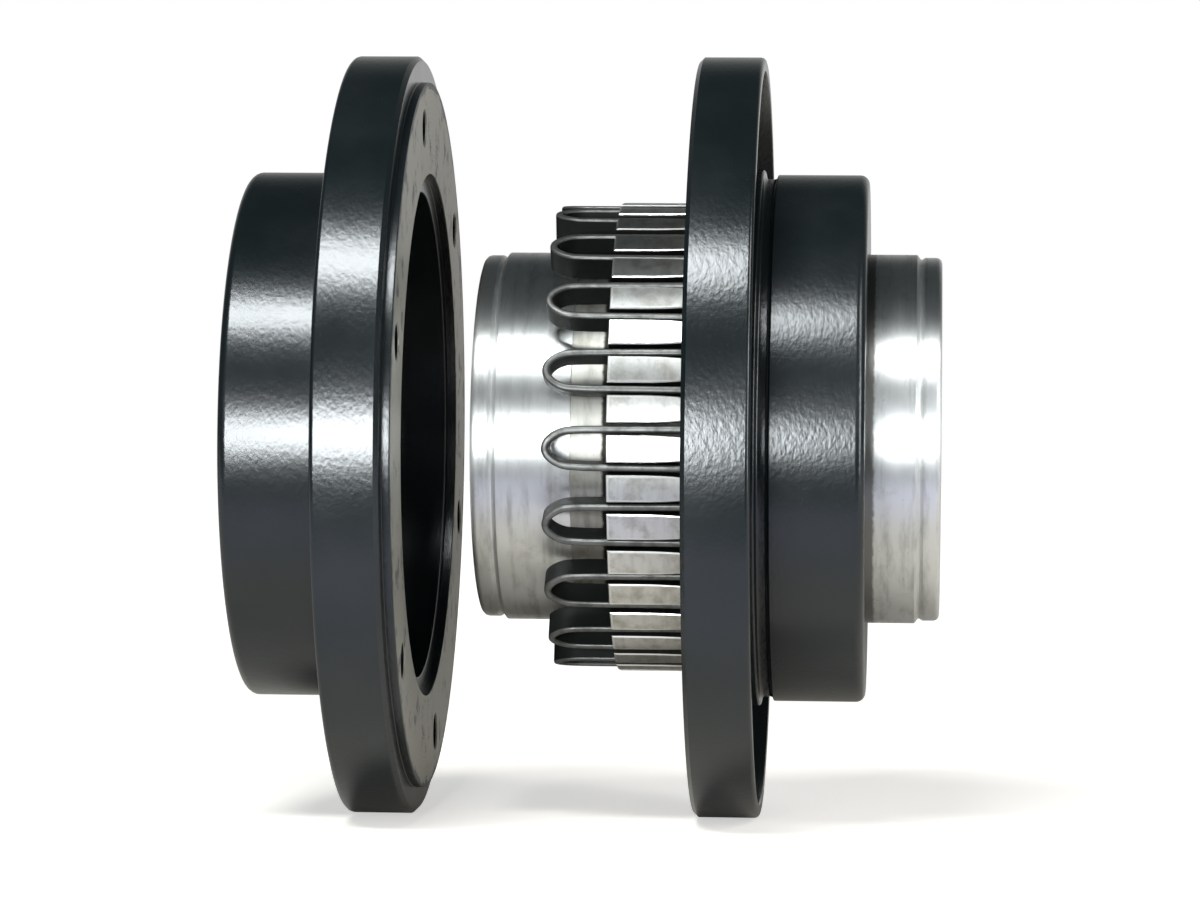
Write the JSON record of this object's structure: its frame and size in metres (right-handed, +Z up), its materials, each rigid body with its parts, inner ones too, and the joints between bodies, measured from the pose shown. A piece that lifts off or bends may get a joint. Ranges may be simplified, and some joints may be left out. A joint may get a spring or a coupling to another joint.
{
  "type": "grid spring shaft coupling",
  "caption": "Flexible shaft coupling: two slotted hubs joined by a serpentine spring, in a flanged cover split in two, with one half pulled off along the shaft.",
  "frame": {"origin": "on the shaft axis, half way along the right hub's bore", "axes": "+X along the shaft axis, out of the right hub's open end; +Z up; -Y towards the viewer"},
  "size_m": [0.1727, 0.19, 0.19],
  "materials": {
    "cover_paint": "semi-gloss black paint",
    "hub_steel": "turned",
    "spring_steel": "oiled, hardened",
    "screw_steel": "blackened",
    "seal_rubber": "matt",
    "gasket_paper": "oiled paper"
  },
  "bodies": {
    "right_hub": {"hub_right": "hub_steel", "set_screw_right": "screw_steel"},
    "spring": {"grid_spring": "spring_steel"},
    "left_hub": {"hub_left": "hub_steel", "set_screw_left": "screw_steel"},
    "right_cover": {"cover_right": "cover_paint", "gasket": "gasket_paper", "seal_right": "seal_rubber", "grease_plugs_right": "screw_steel"},
    "left_cover": {"cover_left": "cover_paint", "seal_left": "seal_rubber", "grease_plugs_left": "screw_steel"}
  },
  "joints": [
    {"name": "end_float", "type": "slide", "parent": "right_hub", "child": "spring", "axis": [1, 0, 0], "range_m": [-0.0015, 0.0008]},
    {"name": "wind_up", "type": "hinge", "parent": "spring", "child": "left_hub", "pos_m": [-0.02925, 0, 0], "axis": [1, 0, 0], "range_deg": [-1.5, 1.5], "stiffness_Nm_per_rad": 400, "deforming": ["grid_spring"]},
    {"name": "left_cover_slide", "type": "slide", "parent": "right_hub", "child": "left_cover", "axis": [1, 0, 0], "range_m": [0, 0.06995]},
    {"name": "right_cover_slide", "type": "slide", "parent": "right_hub", "child": "right_cover", "axis": [1, 0, 0], "range_m": [0, 0.0768]}
  ]
}
